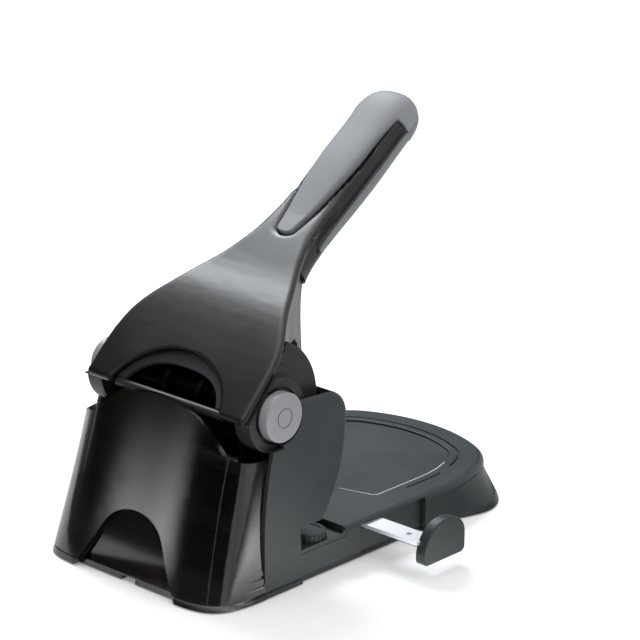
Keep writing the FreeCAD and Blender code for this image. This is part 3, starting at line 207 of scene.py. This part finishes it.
# %% [markdown]
# ## Metals
# The paper guide is a pale anodised strip, and the screws, the rods and the base plate
# are ground steel. The frame, the punches, the shaft with its clips, the springs and
# the lever's core are blackened. Drawn and ground metal has fine lines along one way,
# so its noise is stretched. The anodised layer on the strip scatters light like a pale
# paint, so half of its shine is not metal.


# %% A drawn or ground metal
LINE_SCALE = 900.0


def metal(name, dark, light, roughness, stretch):
    """Metal with fine lines along the way in which it was drawn or ground."""
    material, tree, shader = new_material(name)
    place = add(tree, "ShaderNodeTexCoord")
    along = add(tree, "ShaderNodeMapping", Vector=(place, 3), Scale=stretch)
    lines = add(tree, "ShaderNodeTexNoise", Vector=(along, 0), Scale=LINE_SCALE,
                Detail=2.0)
    colour = add(tree, "ShaderNodeValToRGB", Fac=(lines, 0))
    colour.color_ramp.elements[0].position = 0.35
    colour.color_ramp.elements[0].color = linear(dark)
    colour.color_ramp.elements[1].position = 0.65
    colour.color_ramp.elements[1].color = linear(light)
    tree.links.new(colour.outputs[0], shader.inputs["Base Color"])
    rough = add(tree, "ShaderNodeMapRange", Value=(lines, 0), _3=roughness - 0.05,
                _4=roughness + 0.08)
    tree.links.new(rough.outputs[0], shader.inputs["Roughness"])
    shader.inputs["Metallic"].default_value = 1.0
    return material


guide_metal = metal("aluminium_anodised_silver", "e4e6ec", "eceef3", 0.36, (0.03, 1, 1))
anodised = guide_metal.node_tree.nodes["Principled BSDF"]
anodised.inputs["Metallic"].default_value = 0.5
bright_steel = metal("steel_ground", "a9a8a5", "b9b8b5", 0.28, (1, 1, 0.08))
dark_steel = metal("steel_blackened", "141415", "1e1e20", 0.45, (1, 1, 0.2))
print("metals:", 3)

# %% [markdown]
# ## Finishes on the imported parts
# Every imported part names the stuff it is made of, and gets the finish for it. A few
# parts then get one of their own: the pale strip, the blackened steel, and the satin
# under side of the lever.

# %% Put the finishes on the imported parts
FINISH_OF_SLOT = {
    "black_plastic": matt_abs, "gloss_lever": gloss_abs, "grip_light": grip_light,
    "grip_dark": grip_dark, "cap_grey": cap_grey, "smoked": smoked,
    "steel": bright_steel, "dark_steel": dark_steel, "rubber_black": foot_rubber,
}
for name, node in sorted(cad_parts.items()):
    for place in node.material_slots:
        stuff = place.material.name.split(".")[0] if place.material else "nothing"
        if stuff in FINISH_OF_SLOT:
            place.material = FINISH_OF_SLOT[stuff]
        else:
            print("no finish for", name, stuff)
BLACKENED = ("pivot_shaft", "core_bushes", "cam_pin", "lever_core", "shaft_clips",
             "press_bar", "return_spring_left", "return_spring_right", "front_tie_bar")
OWN_FINISH = {"guide_strip": guide_metal, "lever_under_cover": satin_abs}
OWN_FINISH.update((name, dark_steel) for name in BLACKENED)
for name, finish in OWN_FINISH.items():
    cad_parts[name].material_slots[0].material = finish
print("finishes:", len(FINISH_OF_SLOT), "parts with their own:", len(OWN_FINISH))

# %% [markdown]
# ## Tools for shaping
# A piece starts as one of Blender's own shapes at its real size and place. It is then
# worked on in edit mode, where faces are picked by where they are. All of it is in
# metres, so sizes in millimetres are multiplied by MM. Two places closer than TOUCH
# count as one.


# %% Tools for shaping
TOUCH = 0.01 * MM
SMOOTH_UNDER = math.radians(35)


def only(piece):
    """Nothing but this piece is selected, and it is the one worked on."""
    bpy.ops.object.select_all(action="DESELECT")
    piece.select_set(True)
    bpy.context.view_layer.objects.active = piece


def pick(kind, test):
    """In edit mode, selects the faces or edges whose middle passes the test."""
    bpy.ops.mesh.select_mode(type="FACE" if kind == "faces" else "EDGE")
    bpy.ops.mesh.select_all(action="DESELECT")
    mesh = bmesh.from_edit_mesh(bpy.context.active_object.data)
    for part in getattr(mesh, kind):
        if kind == "faces":
            middle, along = part.calc_center_median(), part.normal
        else:
            middle = (part.verts[0].co + part.verts[1].co) / 2
            along = (part.verts[1].co - part.verts[0].co).normalized()
        if test(middle, along):
            part.select_set(True)
    mesh.select_flush_mode()
    bmesh.update_edit_mesh(bpy.context.active_object.data)


def done(piece, name, body, slot_name, finish, *nodes):
    """Names a finished piece, gives it its finish, and puts it in place of its nodes."""
    only(piece)
    bpy.ops.object.transform_apply(location=True, rotation=True, scale=True)
    bpy.ops.object.shade_smooth_by_angle(angle=SMOOTH_UNDER)
    piece.name = name
    piece.data.materials.clear()
    piece.data.materials.append(finish)
    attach(piece, body)
    if nodes:
        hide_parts(*nodes)
    print(name, "faces:", len(piece.data.polygons))


# %% [markdown]
# ## Pivot caps
# A round cap of grey plastic closes each end of the shaft. It is turned from a
# cylinder: its face is inset to draw the fine ring, the ring is pushed in, and the
# outer edge is rolled over with a bevel.

# %% Pivot caps
CAP_RADIUS = 13.5 * MM
RING_OUTER, RING_INNER, RING_DEPTH = 5.6 * MM, 4.8 * MM, 0.5 * MM
CAP_EDGE = 1.5 * MM
for side, sign in (("left", -1), ("right", 1)):
    low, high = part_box("pivot_cap_" + side)
    middle = (low + high) / 2
    bpy.ops.object.select_all(action="DESELECT")
    bpy.ops.mesh.primitive_cylinder_add(vertices=120, radius=CAP_RADIUS,
                                        depth=high.x - low.x, location=middle,
                                        rotation=(0, math.radians(90), 0))
    cap = bpy.context.active_object
    bpy.ops.object.transform_apply(location=True, rotation=True, scale=True)
    outer_x = high.x if sign > 0 else low.x
    bpy.ops.object.mode_set(mode="EDIT")
    pick("faces", lambda c, n: n.x * sign > 0.9 and abs(c.x - outer_x) < TOUCH)
    bpy.ops.mesh.inset(thickness=CAP_RADIUS - RING_OUTER)
    bpy.ops.mesh.inset(thickness=RING_OUTER - RING_INNER)
    pick("faces", lambda c, n: n.x * sign > 0.9 and RING_INNER * 0.99
         < math.hypot(c.y - middle.y, c.z - middle.z) < RING_OUTER)
    bpy.ops.mesh.extrude_region_move(
        TRANSFORM_OT_translate={"value": (-sign * RING_DEPTH, 0, 0)})
    pick("edges", lambda c, n: abs(c.x - outer_x) < TOUCH
         and math.hypot(c.y - middle.y, c.z - middle.z) > CAP_RADIUS * 0.99)
    bpy.ops.mesh.bevel(offset=CAP_EDGE, segments=6, profile=0.6)
    bpy.ops.mesh.select_all(action="SELECT")
    bpy.ops.mesh.normals_make_consistent(inside=False)
    bpy.ops.object.mode_set(mode="OBJECT")
    done(cap, "cap_" + side, "lever", "cap_grey", cap_grey, "pivot_cap_" + side)

# %% [markdown]
# ## Lock knob
# The knob that locks the guide is a low disc with flutes for the fingers. It starts as
# a cylinder of 96 sides. Two of every four sides are inset and pushed in, which leaves
# 24 ribs, and the top is dished.

# %% Lock knob
KNOB_RADIUS = 10.2 * MM
KNOB_EDGE = 0.6 * MM
FLUTES, SIDES = 24, 96
FLUTE_MARGIN, FLUTE_DEPTH = 0.12 * MM, 0.45 * MM
DISH_MARGIN, DISH_DEPTH = 2.2 * MM, 0.5 * MM
low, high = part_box("guide_lock_knob")
middle = (low + high) / 2
bpy.ops.object.select_all(action="DESELECT")
bpy.ops.mesh.primitive_cylinder_add(vertices=SIDES, radius=KNOB_RADIUS,
                                    depth=high.z - low.z, location=middle)
knob = bpy.context.active_object
bpy.ops.object.transform_apply(location=True, rotation=True, scale=True)
bpy.ops.object.mode_set(mode="EDIT")
pick("edges", lambda c, n: abs(c.z - high.z) < TOUCH)
bpy.ops.mesh.bevel(offset=KNOB_EDGE, segments=3)


def in_flute(c, n):
    """Whether a side face is one of the two that make a flute."""
    turn_there = math.atan2(c.y - middle.y, c.x - middle.x) / (2 * math.pi) % 1
    return abs(n.z) < 0.1 and int(turn_there * SIDES) % (SIDES // FLUTES) < 2


pick("faces", in_flute)
bpy.ops.mesh.inset(thickness=FLUTE_MARGIN, depth=-FLUTE_DEPTH)
pick("faces", lambda c, n: n.z > 0.95 and abs(c.z - high.z) < TOUCH)
bpy.ops.mesh.inset(thickness=DISH_MARGIN)
bpy.ops.mesh.extrude_region_move(TRANSFORM_OT_translate={"value": (0, 0, -DISH_DEPTH)})
bpy.ops.mesh.select_all(action="SELECT")
bpy.ops.mesh.normals_make_consistent(inside=False)
bpy.ops.object.mode_set(mode="OBJECT")
done(knob, "lock_knob", "knob", "black_plastic", matt_abs, "guide_lock_knob")

# %% [markdown]
# ## Soft grips
# The two grips are moulded from a softer plastic, and no edge on them is sharp. Their
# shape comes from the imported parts: a copy is merged, rebuilt from cubes of about half
# a millimetre, and smoothed, which rounds its edges as a soft moulding's are. A bevel
# would fail here, where curved faces meet at thin angles.


# %% Soft grips
def softened(node, name, grain, rounds, body, slot_name, finish, blend=None):
    """A copy of a node with every edge rounded by remeshing and smoothing.

    Blend gives the middle and the half-length, along Y, of a stretch that is smoothed
    for more rounds, fading out to both ends.
    """
    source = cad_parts[node]
    piece = bpy.data.objects.new(name, source.data.copy())
    bpy.context.scene.collection.objects.link(piece)
    only(piece)
    bpy.ops.object.mode_set(mode="EDIT")
    bpy.ops.mesh.select_all(action="SELECT")
    bpy.ops.mesh.remove_doubles(threshold=0.002 * MM)
    bpy.ops.object.mode_set(mode="OBJECT")
    rebuild = piece.modifiers.new("rebuild", "REMESH")
    rebuild.mode = "VOXEL"
    rebuild.voxel_size = grain
    bpy.ops.object.modifier_apply(modifier=rebuild.name)
    calm = piece.modifiers.new("calm", "SMOOTH")
    calm.factor = 0.5
    calm.iterations = rounds
    bpy.ops.object.modifier_apply(modifier=calm.name)
    if blend:
        middle, reach, more = blend
        stretch = piece.vertex_groups.new(name="stretch")
        for vertex in piece.data.vertices:
            share = 1 - abs(vertex.co.y - middle) / reach
            if share > 0:
                stretch.add([vertex.index], min(1.0, 2 * share), "REPLACE")
        flow = piece.modifiers.new("flow", "SMOOTH")
        flow.factor = 0.5
        flow.iterations = more
        flow.vertex_group = stretch.name
        bpy.ops.object.modifier_apply(modifier=flow.name)
    done(piece, name, body, slot_name, finish, node)
    bpy.ops.object.shade_smooth()


softened("grip_top", "upper_grip", 0.55 * MM, 6, "lever", "grip_light", grip_light)
softened("grip_bottom", "lower_grip", 0.6 * MM, 5, "lever", "grip_dark", grip_dark)

# %% [markdown]
# ## Lever shell
# The upper shell is one glossy moulding from the rear lip to the end of the handle. It
# is remade in the same way, with slightly larger cubes, so that the lever flows into
# the handle without a crease.

# %% Lever shell
NECK_MIDDLE, NECK_REACH, NECK_ROUNDS = -54 * MM, 16 * MM, 60
softened("lever_top_cover", "lever_shell", 0.8 * MM, 8, "lever", "gloss_lever", gloss_abs,
         blend=(NECK_MIDDLE, NECK_REACH, NECK_ROUNDS))

# %% [markdown]
# ## Painted highlight line on the table
# A fine bright line along the near edge of the sunk panel on the base, on each side, is a
# painted highlight: a pale bead that stands in for the light caught by the panel's
# rounded edge. It is a thin bead, drawn as a line with a round section and turned to a
# mesh. Its bends are given in millimetres, across and along, from the point halfway
# between the two punches.

# %% Painted highlight line on the table
BEAD_RADIUS = 0.32 * MM
TABLE_LEVEL = 23.0 * MM
LINE_POINTS = ((-29.5, -59.2), (-49.6, -64.8), (-51.1, -66.5), (-51.1, -102.0),
               (-50.7, -110.0), (-49.3, -118.7), (-46.4, -128.5))
# The bead's pale colour is a painted highlight, not a lighter plastic.
painted_highlight_finish = moulded("ABS_painted_highlight_line", "c4c6c8", "d2d4d6", 0.25, 2.0, 0.02)
for side, sign in (("left", 1), ("right", -1)):
    line = bpy.data.curves.new("table_highlight_line_" + side, "CURVE")
    line.dimensions = "3D"
    line.bevel_depth = BEAD_RADIUS
    line.bevel_resolution = 3
    line.use_fill_caps = True
    path = line.splines.new("POLY")
    path.points.add(len(LINE_POINTS) - 1)
    for point, (x, y) in zip(path.points, LINE_POINTS):
        point.co = (sign * x * MM, y * MM, TABLE_LEVEL, 1)
    bead = bpy.data.objects.new("table_highlight_line_" + side, line)
    bpy.context.scene.collection.objects.link(bead)
    only(bead)
    bpy.ops.object.convert(target="MESH")
    done(bpy.context.active_object, "table_highlight_line_" + side, "base", "black_plastic",
         painted_highlight_finish)

# %% [markdown]
# ## The studio
# The punch stands on a white sheet under wide soft lamps. The sheet glows a little
# where it is seen, and keeps the shadow under the base. From here on, places and sizes
# are in metres and the lamps' power is in watts.

# %% Floor and lamps
SHEET_GLOW = 0.16
PUNCH_MIDDLE = (0, 0, 0.1)

bpy.ops.object.select_all(action="DESELECT")
bpy.ops.mesh.primitive_plane_add(size=12, location=(0, 0, 0))
floor = bpy.context.active_object
floor.name = "floor"
sheet, tree, shader = new_material("studio_sheet_white")
shader.inputs["Base Color"].default_value = linear("f4f4f4")
shader.inputs["Roughness"].default_value = 0.9
shader.inputs["Specular IOR Level"].default_value = 0.0
lift = add(tree, "ShaderNodeMath", {"operation": "MULTIPLY"},
           _0=(white_rays(tree), 0), _1=SHEET_GLOW)
glow = add(tree, "ShaderNodeEmission", Color=linear("ffffff"), Strength=(lift, 0))
whole = add(tree, "ShaderNodeAddShader", _0=(shader, 0), _1=(glow, 0))
add(tree, "ShaderNodeOutputMaterial", Surface=(whole, 0)).is_active_output = True
floor.data.materials.append(sheet)


def facing(place, aim, axis):
    """Stands something at a place, with one of its axes turned to what it faces."""
    look = (Vector(aim) - Vector(place)).normalized()
    return Matrix.Translation(place) @ look.to_track_quat(axis, "Y").to_matrix().to_4x4()


def lamp(name, place, aim, size, power):
    """A soft oblong lamp at a place, turned to what it lights."""
    light = bpy.data.lights.new(name, "AREA")
    light.shape = "RECTANGLE"
    light.size, light.size_y = size
    light.energy = power
    holder = bpy.data.objects.new(name, light)
    bpy.context.scene.collection.objects.link(holder)
    holder.matrix_world = facing(place, aim, "-Z")
    return holder


cool_lamp = lamp("lamp_over", (1.0, -0.55, 1.3), PUNCH_MIDDLE, (0.8, 0.6), 24)
cool_lamp.data.color = (0.9, 0.95, 1.0)
lamp("lamp_above", (-0.2, 0.3, 1.8), PUNCH_MIDDLE, (1.6, 1.6), 10)
side_lamp = lamp("lamp_left", (-1.9, -0.5, 1.0), (0, 0, 0.08), (1.0, 1.2), 8)
side_lamp.visible_glossy = False
print("lamps:", 3)

# %% [markdown]
# ## Black cards
# Black cards stand round the punch: behind the camera, beside and above the bin, past
# the table and on the floor. Only reflections see them. They keep the white room out of
# the dark plastic, and give it the black bands that make its shape plain.

# %% Black cards round the punch
flag_finish, tree, shader = new_material("card_black")
shader.inputs["Base Color"].default_value = linear("050505")
shader.inputs["Roughness"].default_value = 1.0
shader.inputs["Specular IOR Level"].default_value = 0.0


def flag(name, place, size, aim=(0, 0, 0), finish=flag_finish):
    """A card that faces the aim and that only reflections see."""
    bpy.ops.object.select_all(action="DESELECT")
    bpy.ops.mesh.primitive_plane_add(size=1, location=(0, 0, 0))
    card = bpy.context.active_object
    card.name = name
    card.matrix_world = facing(place, aim, "Z") @ Matrix.Diagonal((*size, 1, 1))
    card.data.materials.append(finish)
    card.visible_camera = False
    card.visible_diffuse = False
    card.visible_shadow = False
    card.visible_transmission = False


BLACK_CARDS = (
    ("card_behind_camera", (-1.3, 1.75, 0.9), (1.9, 2.0)),
    ("card_right", (-2.1, 0.1, 0.55), (0.9, 1.1)),
    ("card_beside_bin", (1.55, 1.85, 0.62), (1.7, 1.5)),
    ("card_above_bin", (1.35, 0.85, 1.45), (1.0, 0.9)),
    ("card_right_of_bin", (2.0, 0.35, 0.6), (1.3, 1.5)),
    ("card_on_floor_by_bin", (1.0, 1.35, 0.002), (2.1, 2.3), (1.0, 1.35, 1)),
    ("card_on_floor_by_side", (-0.75, -0.62, 0.002), (1.1, 0.76), (-0.75, -0.62, 1)),
    ("card_past_bin_corner", (0.2, 2.3, 0.6), (1.5, 1.6)),
    ("card_behind_table", (1.5, -1.8, 0.8), (2.2, 1.5)),
)
for black_card in BLACK_CARDS:
    flag(*black_card)
print("black cards:", len(BLACK_CARDS))

# %% [markdown]
# ## Soft white cards
# Soft white cards give the tall pale gleam on the rear of the bin, and the paler strips
# at its sides. They are bright in the middle and fade to nothing, and again only
# reflections see them.


# %% Soft white cards
def gleam(name, place, aim, size, strength):
    """A card whose glow fades from its middle, seen only in reflections."""
    finish, tree, shader = new_material(name + "_glow")
    tree.nodes.remove(shader)
    spot = add(tree, "ShaderNodeTexCoord")
    wide = add(tree, "ShaderNodeMapping", Vector=(spot, 3), Scale=(2, 2, 2))
    fade = add(tree, "ShaderNodeTexGradient", {"gradient_type": "QUADRATIC_SPHERE"},
               Vector=(wide, 0))
    power = add(tree, "ShaderNodeMath", {"operation": "MULTIPLY"},
                _0=(fade, 1), _1=strength)
    shine = add(tree, "ShaderNodeEmission", Color=linear("ffffff"), Strength=(power, 0))
    out = next(n for n in tree.nodes if n.type == "OUTPUT_MATERIAL")
    tree.links.new(shine.outputs[0], out.inputs["Surface"])
    flag(name, place, size, aim, finish)


WHITE_CARDS = (
    ("gleam_on_bin", (0.9735, 1.182, 0.04), (-0.0255, 0.0641, 0.0445), (0.24, 0.4), 8.0),
    ("gleam_on_bin_left", (1.7, 0.55, 0.1), (0.06, 0.05, 0.04), (0.7, 0.6), 1.2),
    ("gleam_on_bin_side", (-0.19, 0.0, 0.004), (-0.19, 0.0, 1), (0.5, 0.36), 6.0),
)
for white_card in WHITE_CARDS:
    gleam(*white_card)
print("white cards:", len(WHITE_CARDS))

# %% [markdown]
# ## The white room
# Round it all is a white room. It is dimmer as a source of light than it looks, so that
# the lamps shape the punch.

# %% The white room
ROOM_LIGHT = 0.55
world = bpy.data.worlds.new("studio_room")
bpy.context.scene.world = world
world.use_nodes = True
tree = world.node_tree
tree.nodes.clear()
dim = add(tree, "ShaderNodeBackground", Color=linear("ffffff"), Strength=ROOM_LIGHT)
white = add(tree, "ShaderNodeBackground", Color=linear("ffffff"), Strength=1.0)
both = add(tree, "ShaderNodeMixShader", _0=(white_rays(tree), 0),
           _1=(dim, 0), _2=(white, 0))
add(tree, "ShaderNodeOutputWorld", Surface=(both, 0))
print("room:", world.name)
